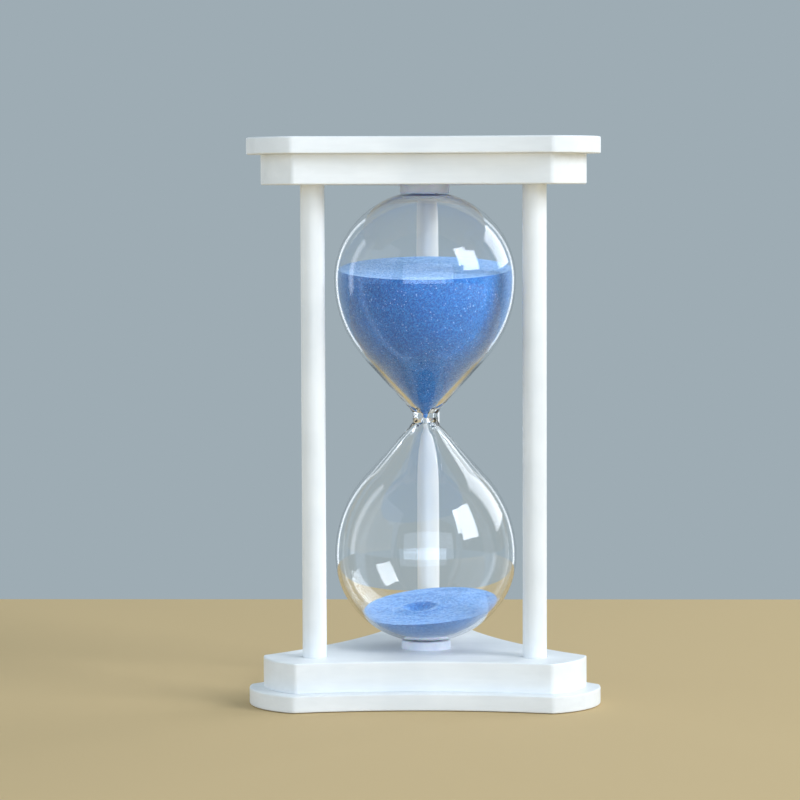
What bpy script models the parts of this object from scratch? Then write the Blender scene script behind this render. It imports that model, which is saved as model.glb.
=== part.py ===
"""Triangular wooden hourglass, standing on its base, in metres with +Z up.

The origin lies under the glass axis, in the plane that the base stands on. Each end of
the frame is a wide outer plate glued to a thicker inner block. Three round posts sit in
sockets of the blocks and are pulled tight by countersunk screws that the plates hide.
The blown glass vessel stands between two soft seat rings and can be turned in them about
its own axis. It is filled with sand through a hole in its lower end, shut by a stopper.
"""

import math

import bmesh
import bpy
from mathutils import Matrix

# Whole object
HEIGHT = 0.200
CLEARANCE = 0.0003  # between neighbouring pieces
EDGE_BREAK = 0.0004  # chamfer on the painted wooden edges

POST_CIRCLE_RADIUS = 0.0450  # through the posts' axes: it sets how wide the frame is

# End boards: a triangle with hollow sides, its corners cut by shallow arcs
BLOCK_THICKNESS = 0.0106
BLOCK_BEYOND_POST = 0.0140  # post axis to the chord of the corner's arc
BLOCK_CORNER_HALF_CHORD = 0.01255
BLOCK_CORNER_HALF_ANGLE = math.radians(28)
PLATE_THICKNESS = 0.0057
PLATE_BEYOND_BLOCK = 0.0028  # between the chords of the two corner arcs
PLATE_CORNER_WIDER = 0.00425  # than the block's half chord
PLATE_CORNER_HALF_ANGLE = math.radians(39)
SIDE_HOLLOW = 0.0060  # how far the middle of each side curves in

# Posts, with their sockets and screws
POST_RADIUS = 0.00425
SOCKET_DEPTH = 0.0050
SCREW_SHANK_RADIUS = 0.0012
SCREW_HEAD_RADIUS = 0.0026
SCREW_HEAD_SINK = 0.0004  # head face below the block's outer face
SCREW_LENGTH = 0.0150
SCREW_TIP_LENGTH = 0.0024
SCREW_RECESS_REACH = 0.0014
SCREW_RECESS_WIDTH = 0.0005
SCREW_RECESS_DEPTH = 0.0009
PILOT_SPARE_DEPTH = 0.0010

# Glass vessel: two equal bulbs joined by a narrow throat
BULB_RADIUS = 0.0327
GLASS_WALL = 0.0012
NECK_RADIUS = 0.0044
NECK_FILLET_RADIUS = 0.0050
CONE_HALF_ANGLE = math.radians(42.3)
SHOULDER_RADIUS = 0.0430  # arc from the cone to the widest line
END_FACE_RADIUS = 0.0086  # flat ring where a bulb meets its seat
THROAT_RADIUS = 0.0008
THROAT_FILLET_RADIUS = 0.0035  # inside the neck, where the wall is thickest
STUB_RADIUS = 0.0046
STUB_LENGTH = 0.0040
FILL_HOLE_RADIUS = 0.0026
STOPPER_LENGTH = 0.0050
STOPPER_PROUD = 0.0004  # below the end of the stub

# Seat rings
RING_RADIUS = 0.00885
RING_HEIGHT_SHOWN = 0.0034
RING_SEAT_DEPTH = 0.0030
RING_EDGE_BREAK = 0.0005

# Sand: heights are of the middle of each top surface
SAND_UPPER_DEPTH = 0.0538  # above the throat
SAND_UPPER_FALL = math.radians(6.6)  # towards -Y
SAND_LOWER_DEPTH = 0.0100  # above the inside of the lower end
SAND_LOWER_FALL = math.radians(7.0)  # towards -Y
SAND_LOWER_LEAN = math.radians(4.8)  # towards -X
CRATER_RADIUS = 0.0052
CRATER_DEPTH = 0.0017
CRATER_RIM_HEIGHT = 0.0005

# Fineness of the round shapes
GLASS_SEGMENTS = 36
POST_SEGMENTS = 24
SCREW_SEGMENTS = 16
CORNER_STEPS = 8
SIDE_STEPS = 8
NECK_STEPS = 3
THROAT_STEPS = 5
SHOULDER_STEPS = 4
DOME_STEPS = 6

# Sizes that follow from the ones above
BLOCK_CORNER_REACH = POST_CIRCLE_RADIUS + BLOCK_BEYOND_POST
PLATE_CORNER_REACH = BLOCK_CORNER_REACH + PLATE_BEYOND_BLOCK
PLATE_CORNER_HALF_CHORD = BLOCK_CORNER_HALF_CHORD + PLATE_CORNER_WIDER
END_THICKNESS = PLATE_THICKNESS + CLEARANCE + BLOCK_THICKNESS
MIDDLE = HEIGHT / 2
GLASS_HALF_LENGTH = MIDDLE - END_THICKNESS - RING_HEIGHT_SHOWN
STUB_HOLE_RADIUS = STUB_RADIUS + CLEARANCE

POST_ANGLES = {
    "front_left": math.radians(210),
    "front_right": math.radians(330),
    "rear": math.radians(90),
}
SRGB_KNEE = 0.04045


# ---------------------------------------------------------------- objects and materials
def clear_scene():
    for obj in list(bpy.data.objects):
        bpy.data.objects.remove(obj, do_unlink=True)


def linear(channel):
    if channel <= SRGB_KNEE:
        return channel / 12.92
    return ((channel + 0.055) / 1.055) ** 2.4


def colour(code):
    """Linear RGBA of an sRGB colour such as "F3F5F6"."""
    return tuple(linear(int(code[i : i + 2], 16) / 255) for i in (0, 2, 4)) + (1.0,)


def material(name, code, roughness, metallic=0.0, transmission=0.0):
    made = bpy.data.materials.new(name)
    made.use_nodes = True
    surface = made.node_tree.nodes["Principled BSDF"]
    surface.inputs["Base Color"].default_value = colour(code)
    surface.inputs["Roughness"].default_value = roughness
    surface.inputs["Metallic"].default_value = metallic
    surface.inputs["Transmission Weight"].default_value = transmission
    return made


def add_object(name, bm, look=None, location=(0, 0, 0), upside_down=False):
    """The mesh as an object. Its faces are turned outward, and its round parts are smooth."""
    bmesh.ops.recalc_face_normals(bm, faces=bm.faces)
    mesh = bpy.data.meshes.new(name)
    bm.to_mesh(mesh)
    bm.free()
    mesh.shade_smooth()
    mesh.set_sharp_from_angle(angle=math.radians(35))
    if look:
        mesh.materials.append(look)
    obj = bpy.data.objects.new(name, mesh)
    bpy.context.collection.objects.link(obj)
    obj.location = location
    if upside_down:
        obj.rotation_euler.x = math.pi
    return obj


def cut(obj, cutter):
    cutter.hide_render = True
    cutter.display_type = "WIRE"
    modifier = obj.modifiers.new("cut " + cutter.name, "BOOLEAN")
    modifier.operation = "DIFFERENCE"
    modifier.object = cutter


# ---------------------------------------------------------------- shapes
def turned(profile, segments):
    """A solid of revolution about Z from (radius, height) points that begin and end on the
    axis or, for a ring, where the profile closes."""
    bm = bmesh.new()
    verts = [bm.verts.new((radius, 0, height)) for radius, height in profile]
    edges = [bm.edges.new(pair) for pair in zip(verts, verts[1:])]
    if profile[0][0] > 0:
        edges.append(bm.edges.new((verts[-1], verts[0])))
    bmesh.ops.spin(
        bm,
        geom=verts + edges,
        cent=(0, 0, 0),
        axis=(0, 0, 1),
        angle=2 * math.pi,
        steps=segments,
        use_merge=True,
    )
    bmesh.ops.remove_doubles(bm, verts=bm.verts, dist=1e-6)
    return bm


def prism(outline, height):
    bm = bmesh.new()
    face = bm.faces.new([bm.verts.new((x, y, 0)) for x, y in outline])
    raised = bmesh.ops.extrude_face_region(bm, geom=[face])["geom"]
    top = [item for item in raised if isinstance(item, bmesh.types.BMVert)]
    bmesh.ops.translate(bm, verts=top, vec=(0, 0, height))
    return bm


def arc(centre, radius, start, end, steps):
    """Points (x, y) on an arc, both ends included."""
    found = []
    for i in range(steps + 1):
        angle = start + (end - start) * i / steps
        found.append(
            (centre[0] + radius * math.cos(angle), centre[1] + radius * math.sin(angle))
        )
    return found


def corner_points(angle, reach, half_chord, half_angle):
    radius = half_chord / math.sin(half_angle)
    from_axis = reach - radius * math.cos(half_angle)
    centre = (from_axis * math.cos(angle), from_axis * math.sin(angle))
    return arc(centre, radius, angle - half_angle, angle + half_angle, CORNER_STEPS)


def side_points(start, end):
    """Points between two corners, on the arc that curves in by SIDE_HOLLOW."""
    half_chord = math.dist(start, end) / 2
    radius = (half_chord**2 + SIDE_HOLLOW**2) / (2 * SIDE_HOLLOW)
    middle = ((start[0] + end[0]) / 2, (start[1] + end[1]) / 2)
    outward = math.atan2(middle[1], middle[0])
    from_axis = math.hypot(*middle) + radius - SIDE_HOLLOW
    centre = (from_axis * math.cos(outward), from_axis * math.sin(outward))
    half_angle = math.asin(half_chord / radius)
    inward = outward + math.pi
    return arc(centre, radius, inward + half_angle, inward - half_angle, SIDE_STEPS)[1:-1]


def board_outline(reach, half_chord, half_angle):
    corners = [
        corner_points(angle, reach, half_chord, half_angle)
        for angle in sorted(POST_ANGLES.values())
    ]
    outline = []
    for corner, following in zip(corners, corners[1:] + corners[:1]):
        outline += corner + side_points(corner[-1], following[0])
    return outline


def board(outline, thickness):
    """A flat board with its lower face at height 0, its long edges broken."""
    bm = prism(outline, thickness)
    rim = [edge for edge in bm.edges if edge.verts[0].co.z == edge.verts[1].co.z]
    bmesh.ops.bevel(
        bm, geom=rim, offset=EDGE_BREAK, segments=1, affect="EDGES", profile=0.5, material=-1
    )
    return bm


# ---------------------------------------------------------------- wooden frame
def at_end(depth, upside_down, x=0.0, y=0.0):
    """The place at this depth from the outer face of the base, or of the top."""
    return (x, y, HEIGHT - depth if upside_down else depth)


def plate(name, look, upside_down):
    outline = board_outline(
        PLATE_CORNER_REACH, PLATE_CORNER_HALF_CHORD, PLATE_CORNER_HALF_ANGLE
    )
    depth = PLATE_THICKNESS if upside_down else 0
    return add_object(
        name, board(outline, PLATE_THICKNESS), look, at_end(depth, upside_down)
    )


def post_hole():
    """Socket, screw hole and countersink of one post, as a turned cutter. Height 0 is the
    block's outer face, and it reaches past both faces."""
    beyond = CLEARANCE
    shank = SCREW_SHANK_RADIUS + CLEARANCE
    head = SCREW_HEAD_RADIUS + CLEARANCE
    socket_floor = BLOCK_THICKNESS - SOCKET_DEPTH
    head_depth = SCREW_HEAD_SINK + head - shank
    return turned(
        [
            (0, -beyond),
            (head, -beyond),
            (head, SCREW_HEAD_SINK),
            (shank, head_depth),
            (shank, socket_floor),
            (POST_RADIUS + CLEARANCE, socket_floor),
            (POST_RADIUS + CLEARANCE, BLOCK_THICKNESS + beyond),
            (0, BLOCK_THICKNESS + beyond),
        ],
        POST_SEGMENTS,
    )


def ring_seat():
    """Counterbore for a seat ring, as a turned cutter with height 0 at the outer face."""
    floor = BLOCK_THICKNESS - RING_SEAT_DEPTH
    radius = RING_RADIUS + CLEARANCE
    top = BLOCK_THICKNESS + CLEARANCE
    return turned([(0, floor), (radius, floor), (radius, top), (0, top)], GLASS_SEGMENTS)


def block(name, look, upside_down):
    outline = board_outline(
        BLOCK_CORNER_REACH, BLOCK_CORNER_HALF_CHORD, BLOCK_CORNER_HALF_ANGLE
    )
    outer_face = PLATE_THICKNESS + CLEARANCE
    depth = outer_face + (BLOCK_THICKNESS if upside_down else 0)
    obj = add_object(
        name, board(outline, BLOCK_THICKNESS), look, at_end(depth, upside_down)
    )
    seat = add_object(
        name + "_seat_cutter",
        ring_seat(),
        location=at_end(outer_face, upside_down),
        upside_down=upside_down,
    )
    cut(obj, seat)
    for side, (x, y) in post_places().items():
        hole = add_object(
            name + "_hole_cutter_" + side,
            post_hole(),
            location=at_end(outer_face, upside_down, x, y),
            upside_down=upside_down,
        )
        cut(obj, hole)
    return obj


def post_places():
    return {
        side: (POST_CIRCLE_RADIUS * math.cos(angle), POST_CIRCLE_RADIUS * math.sin(angle))
        for side, angle in POST_ANGLES.items()
    }


def post(side, look):
    """A post whose ends stop one clearance short of their sockets' floors."""
    x, y = post_places()[side]
    foot = END_THICKNESS - SOCKET_DEPTH + CLEARANCE
    length = HEIGHT - 2 * foot
    pilot = SCREW_SHANK_RADIUS + CLEARANCE
    screw_end = PLATE_THICKNESS + CLEARANCE + SCREW_HEAD_SINK + SCREW_LENGTH
    pilot_depth = screw_end - foot + PILOT_SPARE_DEPTH
    edge = POST_RADIUS - EDGE_BREAK
    lower = [(0, pilot_depth), (pilot, pilot_depth), (pilot, 0), (edge, 0)]
    lower.append((POST_RADIUS, EDGE_BREAK))
    upper = [(radius, length - height) for radius, height in reversed(lower)]
    return add_object("post_" + side, turned(lower + upper, POST_SEGMENTS), look, (x, y, foot))


def cross_recess():
    """A cross-shaped cutter for a screw's drive, sunk into the head from height 0 up."""
    half = SCREW_RECESS_WIDTH / 2
    reach = SCREW_RECESS_REACH
    arm = [(reach, -half), (reach, half), (half, half)]
    outline = []
    for _ in range(4):
        outline += arm
        arm = [(-y, x) for x, y in arm]
    bm = prism(outline, SCREW_RECESS_DEPTH + CLEARANCE)
    bmesh.ops.translate(bm, verts=bm.verts, vec=(0, 0, -CLEARANCE))
    return bm


def screw(name, look, x, y, upside_down):
    """A countersunk wood screw with its head's face at height 0 and its tip above it."""
    head_height = SCREW_HEAD_RADIUS - SCREW_SHANK_RADIUS
    profile = [
        (0, 0),
        (SCREW_HEAD_RADIUS, 0),
        (SCREW_SHANK_RADIUS, head_height),
        (SCREW_SHANK_RADIUS, SCREW_LENGTH - SCREW_TIP_LENGTH),
        (0, SCREW_LENGTH),
    ]
    place = at_end(PLATE_THICKNESS + CLEARANCE + SCREW_HEAD_SINK, upside_down, x, y)
    obj = add_object(name, turned(profile, SCREW_SEGMENTS), look, place, upside_down)
    recess = add_object(name + "_drive_cutter", cross_recess(), None, place, upside_down)
    cut(obj, recess)
    return obj


def seat_ring(name, look, upside_down):
    """A soft ring in the block's counterbore, which a bulb's flat end rests on."""
    foot = END_THICKNESS - RING_SEAT_DEPTH + CLEARANCE
    height = RING_SEAT_DEPTH + RING_HEIGHT_SHOWN - 2 * CLEARANCE
    profile = [
        (STUB_HOLE_RADIUS, 0),
        (RING_RADIUS, 0),
        (RING_RADIUS, height - RING_EDGE_BREAK),
        (RING_RADIUS - RING_EDGE_BREAK, height),
        (STUB_HOLE_RADIUS, height),
    ]
    place = at_end(foot, upside_down)
    return add_object(name, turned(profile, GLASS_SEGMENTS), look, place, upside_down)


# ---------------------------------------------------------------- glass and sand
def shoulder_centre():
    """Centre (radius, distance from the throat) of the arc between cone and widest line.
    The cone is tangent to this arc and to the neck's fillet."""
    half = math.tan(CONE_HALF_ANGLE / 2)
    neck_corner = NECK_FILLET_RADIUS * half
    rise = (BULB_RADIUS - NECK_RADIUS) / math.tan(CONE_HALF_ANGLE)
    widest = neck_corner + rise + SHOULDER_RADIUS * half
    return (BULB_RADIUS - SHOULDER_RADIUS, widest)


def dome(radius, height, start, last_height):
    """Quarter ellipse from the widest line at start up to last_height above that line."""
    last = math.asin(last_height / height)
    points = []
    for i in range(1, DOME_STEPS + 1):
        angle = last * i / DOME_STEPS
        points.append((radius * math.cos(angle), start + height * math.sin(angle)))
    return points


def dome_height():
    """Half axis of the outer dome, which is cut flat where its radius is END_FACE_RADIUS."""
    share = math.sqrt(1 - (END_FACE_RADIUS / BULB_RADIUS) ** 2)
    return (GLASS_HALF_LENGTH - shoulder_centre()[1]) / share


def outer_half():
    """Outside of one bulb as (radius, distance from the throat), neck to end face."""
    centre = shoulder_centre()
    neck = arc(
        (NECK_RADIUS + NECK_FILLET_RADIUS, 0),
        NECK_FILLET_RADIUS,
        math.pi,
        math.pi - CONE_HALF_ANGLE,
        NECK_STEPS,
    )
    shoulder = arc(centre, SHOULDER_RADIUS, -CONE_HALF_ANGLE, 0, SHOULDER_STEPS)
    last_height = GLASS_HALF_LENGTH - centre[1]
    return neck + shoulder + dome(BULB_RADIUS, dome_height(), centre[1], last_height)


def inner_half(inset, end_radius=0.0):
    """Inside of one bulb, moved in by inset, from the throat to end_radius on its flat end.
    The straight run is tangent to the throat's fillet and to the arc inside the shoulder."""
    centre = shoulder_centre()
    wall_radius = SHOULDER_RADIUS - GLASS_WALL
    throat_centre = (THROAT_RADIUS + THROAT_FILLET_RADIUS, 0)
    across = centre[0] - throat_centre[0]
    apart = math.hypot(across, centre[1])
    slope = math.asin((THROAT_FILLET_RADIUS + wall_radius) / apart)
    slope += math.atan2(across, centre[1])
    fillet_radius = THROAT_FILLET_RADIUS + inset
    throat = arc(throat_centre, fillet_radius, math.pi, math.pi - slope, THROAT_STEPS)
    shoulder = arc(centre, wall_radius - inset, -slope, 0, SHOULDER_STEPS)
    radius = BULB_RADIUS - GLASS_WALL - inset
    end = GLASS_HALF_LENGTH - GLASS_WALL - inset
    curved = dome(radius, dome_height() - GLASS_WALL - inset, centre[1], end - centre[1])
    return throat + shoulder + curved + [(end_radius, end)]


def down(profile):
    """The same profile below the throat."""
    return [(radius, -height) for radius, height in profile]


def glass_vessel(look):
    """Both bulbs in one wall, with a closed stub above and an open one below."""
    stub_end = GLASS_HALF_LENGTH + STUB_LENGTH
    outside = outer_half()
    profile = [(0, stub_end), (STUB_RADIUS, stub_end), (STUB_RADIUS, GLASS_HALF_LENGTH)]
    profile += outside[::-1]
    profile += down(outside)[1:]
    profile += down([(STUB_RADIUS, GLASS_HALF_LENGTH), (STUB_RADIUS, stub_end)])
    profile += down([(FILL_HOLE_RADIUS, stub_end)])
    profile += down(inner_half(0, FILL_HOLE_RADIUS))[::-1]
    profile += inner_half(0)[1:]
    return add_object(
        "glass_vessel", turned(profile, GLASS_SEGMENTS), look, (0, 0, MIDDLE)
    )


def fill_stopper(look):
    radius = FILL_HOLE_RADIUS - CLEARANCE
    profile = [(0, 0), (radius, 0), (radius, STOPPER_LENGTH), (0, STOPPER_LENGTH)]
    foot = MIDDLE - GLASS_HALF_LENGTH - STUB_LENGTH - STOPPER_PROUD
    return add_object("fill_stopper", turned(profile, SCREW_SEGMENTS), look, (0, 0, foot))


def sand_top(name, height, profile, fall, lean=0.0):
    """Cutter over a sloping sand surface, whose underside follows profile at the axis. It
    is larger than a bulb, so that it takes everything above the surface."""
    beyond = 2 * GLASS_HALF_LENGTH
    shape = turned(profile + [(beyond, 0), (beyond, beyond), (0, beyond)], GLASS_SEGMENTS)
    cutter = add_object(name, shape, location=(0, 0, height))
    cutter.rotation_euler = (fall, -lean, 0)
    return cutter


def sand_upper(look):
    """Sand that fills the upper cone down to just above the throat, its top sloping."""
    inside = inner_half(CLEARANCE)[1:]
    profile = [(0, inside[0][1])] + inside
    obj = add_object("sand_upper", turned(profile, GLASS_SEGMENTS), look, (0, 0, MIDDLE))
    level = MIDDLE + SAND_UPPER_DEPTH
    cut(obj, sand_top("sand_upper_cutter", level, [(0, 0)], SAND_UPPER_FALL))
    return obj


def sand_lower(look):
    """Shallow heap in the lower bulb with a small crater under the throat."""
    inside = inner_half(CLEARANCE, FILL_HOLE_RADIUS)[1:]
    profile = down([(0, inside[0][1])] + inside + [(0, inside[-1][1])])
    obj = add_object("sand_lower", turned(profile, GLASS_SEGMENTS), look, (0, 0, MIDDLE))
    crater = [
        (0, -CRATER_DEPTH),
        (CRATER_RADIUS / 2, -CRATER_DEPTH / 2),
        (CRATER_RADIUS, CRATER_RIM_HEIGHT),
        (2 * CRATER_RADIUS, 0),
    ]
    level = MIDDLE - GLASS_HALF_LENGTH + GLASS_WALL + SAND_LOWER_DEPTH
    cutter = sand_top("sand_lower_cutter", level, crater, SAND_LOWER_FALL, SAND_LOWER_LEAN)
    cut(obj, cutter)
    return obj


# ---------------------------------------------------------------- assembly
def empty(name, location):
    obj = bpy.data.objects.new(name, None)
    obj.location = location
    bpy.context.collection.objects.link(obj)
    return obj


def adopt(parent, children):
    """Parents the objects and leaves each where it is."""
    for child in children:
        child.parent = parent
        child.matrix_parent_inverse = Matrix.Translation(parent.location).inverted()


def build_frame():
    paint = material("white painted wood", "F1F4F6", 0.42)
    steel = material("zinc-plated steel", "B9BCC0", 0.32, metallic=1.0)
    foam = material("white foam rubber", "DEE1EA", 0.85)
    pieces = []
    for end, upside_down in (("base", False), ("top", True)):
        pieces.append(plate(end + "_plate", paint, upside_down))
        pieces.append(block(end + "_block", paint, upside_down))
        for side, (x, y) in post_places().items():
            pieces.append(screw(f"{end}_screw_{side}", steel, x, y, upside_down))
    pieces.append(seat_ring("lower_seat_ring", foam, False))
    pieces.append(seat_ring("upper_seat_ring", foam, True))
    pieces += [post(side, paint) for side in POST_ANGLES]
    adopt(empty("frame", (0, 0, 0)), pieces)


def build_glass():
    sand = material("blue quartz sand", "4A86D8", 0.8)
    pieces = [
        glass_vessel(material("clear borosilicate glass", "FFFFFF", 0.0, transmission=1.0)),
        fill_stopper(material("cork", "B98F60", 0.9)),
        sand_upper(sand),
        sand_lower(sand),
    ]
    adopt(empty("glass_turning_axis", (0, 0, MIDDLE)), pieces)


clear_scene()
build_frame()
build_glass()
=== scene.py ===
# %% [markdown]
# # A triangular wooden hourglass
#
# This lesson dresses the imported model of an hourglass. Its white ends are flat triangular boards,
# three round posts hold them apart, and one blown glass vessel stands between two soft rings.
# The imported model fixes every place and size. Its plain nodes are replaced here by finer
# meshes, so that edges catch light as painted wood, blown glass and loose sand do. Only the
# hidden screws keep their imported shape.

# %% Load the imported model
import math

import bmesh
import bpy
import numpy as np
from mathutils import Matrix, Vector, noise


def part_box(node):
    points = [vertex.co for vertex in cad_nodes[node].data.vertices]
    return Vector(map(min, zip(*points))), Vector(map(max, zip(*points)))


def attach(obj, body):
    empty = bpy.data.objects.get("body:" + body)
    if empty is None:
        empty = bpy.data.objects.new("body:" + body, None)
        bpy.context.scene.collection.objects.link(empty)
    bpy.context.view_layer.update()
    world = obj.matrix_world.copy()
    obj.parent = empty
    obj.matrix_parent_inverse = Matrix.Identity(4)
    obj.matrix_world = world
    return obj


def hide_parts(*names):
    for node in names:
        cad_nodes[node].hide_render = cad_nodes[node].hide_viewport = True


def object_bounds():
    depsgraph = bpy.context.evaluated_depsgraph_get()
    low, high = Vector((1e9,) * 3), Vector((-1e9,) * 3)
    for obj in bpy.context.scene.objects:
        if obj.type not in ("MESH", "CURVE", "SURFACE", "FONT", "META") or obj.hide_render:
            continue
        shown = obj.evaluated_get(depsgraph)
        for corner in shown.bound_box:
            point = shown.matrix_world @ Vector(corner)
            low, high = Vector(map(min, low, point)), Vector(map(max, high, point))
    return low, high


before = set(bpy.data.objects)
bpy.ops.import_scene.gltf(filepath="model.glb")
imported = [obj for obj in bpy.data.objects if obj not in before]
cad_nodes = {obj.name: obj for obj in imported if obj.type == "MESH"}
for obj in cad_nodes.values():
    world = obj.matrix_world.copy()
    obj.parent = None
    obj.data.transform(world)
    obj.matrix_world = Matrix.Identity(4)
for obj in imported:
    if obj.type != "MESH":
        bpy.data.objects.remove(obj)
cad_box = [list(corner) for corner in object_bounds()]
HEIGHT = cad_box[1][2]
print("nodes:", len(cad_nodes), "height in mm:", round(HEIGHT * 1000, 1))

# %% [markdown]
# ## Camera
#
# The view is from a little above the middle, almost straight on, with a long lens. A long lens
# keeps upright edges nearly parallel. The alternative, a short lens close by, would make the
# top board loom. A helper turns any object so that its own -Z axis meets a point.


# %% Camera
def aim(obj, target, roll=0.0):
    towards = Vector(target) - obj.location
    turn = towards.to_track_quat("-Z", "Y").to_matrix() @ Matrix.Rotation(roll, 3, "Z")
    obj.rotation_euler = turn.to_euler()


def add_to_scene(name, data):
    obj = bpy.data.objects.new(name, data)
    bpy.context.scene.collection.objects.link(obj)
    return obj


lens = bpy.data.cameras.new("long_lens")
lens.lens = 139.3  # mm, on a sensor 36 mm wide
lens.sensor_width = 36.0
camera = add_to_scene("camera", lens)
camera.location = (0.0249, -1.1103, 0.1782)
aim(camera, (-0.0091, 0.0, 0.1062), roll=-0.0036)  # a hand-held camera is never quite level
bpy.context.scene.camera = camera
bpy.context.scene.view_settings.view_transform = "Standard"
print("camera distance in mm:", round(camera.location.length * 1000))

# %% [markdown]
# ## One way to write colours and nodes
#
# Paint charts and screens give colours in sRGB, while shaders work in linear light, so one
# function converts them. Another small function adds any kind of node with its settings and
# links. That is shorter than a function for each kind, and it reads as a list of facts.


# %% Colours and nodes
def colour(code):
    """Linear RGBA of an sRGB colour such as "F3F5F6"."""
    channels = []
    for i in (0, 2, 4):
        value = int(code[i : i + 2], 16) / 255
        channels.append(value / 12.92 if value <= 0.04045 else ((value + 0.055) / 1.055) ** 2.4)
    return (*channels, 1.0)


def add_node(tree, kind, settings=None, links=None):
    """A node with its properties or socket values set, and its inputs linked."""
    made = tree.nodes.new("ShaderNode" + kind)
    for name, value in (settings or {}).items():
        if isinstance(name, str) and hasattr(made, name):
            setattr(made, name, value)
        else:
            made.inputs[name].default_value = value
    for name, source in (links or {}).items():
        tree.links.new(source, made.inputs[name])
    return made


def new_finish(name):
    """A material with its node tree, its shader and the object's own coordinates."""
    made = bpy.data.materials.new(name)
    made.use_nodes = True
    tree = made.node_tree
    place = add_node(tree, "TexCoord").outputs["Object"]
    return made, tree, tree.nodes["Principled BSDF"], place


def set_sockets(shader, **values):
    for name, value in values.items():
        shader.inputs[name.replace("_", " ")].default_value = value


MM = 0.001


def per_mm(size):
    """Texture scale whose pattern repeats about every size millimetres."""
    return 1 / (size * MM)


print("white in linear light:", [round(c, 3) for c in colour("F3F5F6")])

# %% [markdown]
# ## White satin paint on wood
#
# The boards and posts are light wood under sprayed white satin lacquer. Sprayed lacquer keeps
# a faint orange peel about a millimetre across, and the wood's grain swells a little under it,
# so long shallow ridges run along each piece. Colour alone would look like plastic. Here the
# ridges and the peel go into the bump, the ridges also stain the colour a little, and slow
# clouds vary the tone and the gloss.


# %% Paint
def painted_wood(name, grain_size):
    """Satin white lacquer. grain_size is the size of the grain's streaks in mm along X, Y, Z."""
    made, tree, shader, place = new_finish(name)
    stretch = add_node(
        tree,
        "Mapping",
        {"Scale": tuple(per_mm(size) for size in grain_size)},
        {"Vector": place},
    )
    grain = add_node(
        tree,
        "TexNoise",
        {"Scale": 1.0, "Detail": 3.0, "Roughness": 0.6, "Distortion": 0.4},
        {"Vector": stretch.outputs["Vector"]},
    )
    peel = add_node(
        tree,
        "TexNoise",
        {"Scale": per_mm(1.3), "Detail": 2.0, "Roughness": 0.5},
        {"Vector": place},
    )
    cloud = add_node(
        tree, "TexNoise", {"Scale": per_mm(28), "Detail": 3.0}, {"Vector": place}
    )
    tint = add_node(tree, "ValToRGB", None, {"Fac": cloud.outputs["Fac"]})
    tint.color_ramp.elements[0].position = 0.36
    tint.color_ramp.elements[0].color = colour("EDF0F1")
    tint.color_ramp.elements[1].position = 0.62
    tint.color_ramp.elements[1].color = colour("F7F9F9")
    streak = add_node(
        tree,
        "MapRange",
        {"From Min": 0.35, "From Max": 0.65, "To Min": 0.965, "To Max": 1.0},
        {"Value": grain.outputs["Fac"]},
    )
    shade = add_node(
        tree,
        "Mix",
        {"data_type": "RGBA", "blend_type": "MULTIPLY", "Factor": 1.0},
        {6: tint.outputs["Color"], 7: streak.outputs["Result"]},
    )
    gloss = add_node(
        tree,
        "MapRange",
        {"From Min": 0.3, "From Max": 0.7, "To Min": 0.34, "To Max": 0.48},
        {"Value": cloud.outputs["Fac"]},
    )
    ridges = add_node(
        tree,
        "Bump",
        {"Strength": 0.35, "Distance": 0.06 * MM},
        {"Height": grain.outputs["Fac"]},
    )
    skin = add_node(
        tree,
        "Bump",
        {"Strength": 0.3, "Distance": 0.03 * MM},
        {"Height": peel.outputs["Fac"], "Normal": ridges.outputs["Normal"]},
    )
    set_sockets(shader, IOR=1.5, Specular_IOR_Level=0.5)
    tree.links.new(shade.outputs[2], shader.inputs["Base Color"])
    tree.links.new(gloss.outputs["Result"], shader.inputs["Roughness"])
    tree.links.new(skin.outputs["Normal"], shader.inputs["Normal"])
    return made


BOARD_PAINT = painted_wood("White satin lacquer on boards", (38, 2.4, 2.4))
POST_PAINT = painted_wood("White satin lacquer on turned posts", (1.8, 1.8, 45))
print("paints:", BOARD_PAINT.name, "/", POST_PAINT.name)

# %% [markdown]
# ## From a bmesh to a finished piece
#
# Every piece ends the same way. Doubled points are merged, faces are turned outward, and only
# edges sharper than a rounding stay sharp. The piece then takes its finish, rides on its body
# and takes the place of its plain node. Mirroring a piece to the top turns it inside out, so
# the normals come after that.


# %% Finishing a piece
SMOOTH_BELOW = math.radians(35)
SAME_POINT = 1e-6  # metres; points closer than this are one point
ROUND_OFF = 1e-7  # metres; what is left of zero after some sums


def lift_to_top(bm):
    """Mirrors a piece of the base into its place at the top."""
    bmesh.ops.scale(bm, verts=bm.verts, vec=(1, 1, -1))
    bmesh.ops.translate(bm, verts=bm.verts, vec=(0, 0, HEIGHT))


def mesh_from(name, bm):
    """A mesh with outward faces and smooth shading, which uses up the bmesh."""
    bmesh.ops.remove_doubles(bm, verts=bm.verts, dist=SAME_POINT)
    bmesh.ops.recalc_face_normals(bm, faces=bm.faces)
    mesh = bpy.data.meshes.new(name)
    bm.to_mesh(mesh)
    bm.free()
    mesh.shade_smooth()
    mesh.set_sharp_from_angle(angle=SMOOTH_BELOW)
    return mesh


def finish_piece(name, bm, finish, body, node):
    """An object in this finish that rides on the body and stands for the CAD node."""
    mesh = mesh_from(name, bm)
    mesh.materials.append(finish)
    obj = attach(add_to_scene(name, mesh), body)
    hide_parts(node)
    print(f"{name}: {len(mesh.vertices)} points, stands for {node}")
    return obj


# %% [markdown]
# ## Outline of the end boards
#
# Each board is a triangle whose sides curve in and whose corners are cut by shallow arcs. It
# could be traced as one long list of points. It is shorter to draw a third of it, one corner
# arc and one side arc, by pushing a point out and turning it a step at a time, and then to
# spin copies of that third around the middle.

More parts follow.
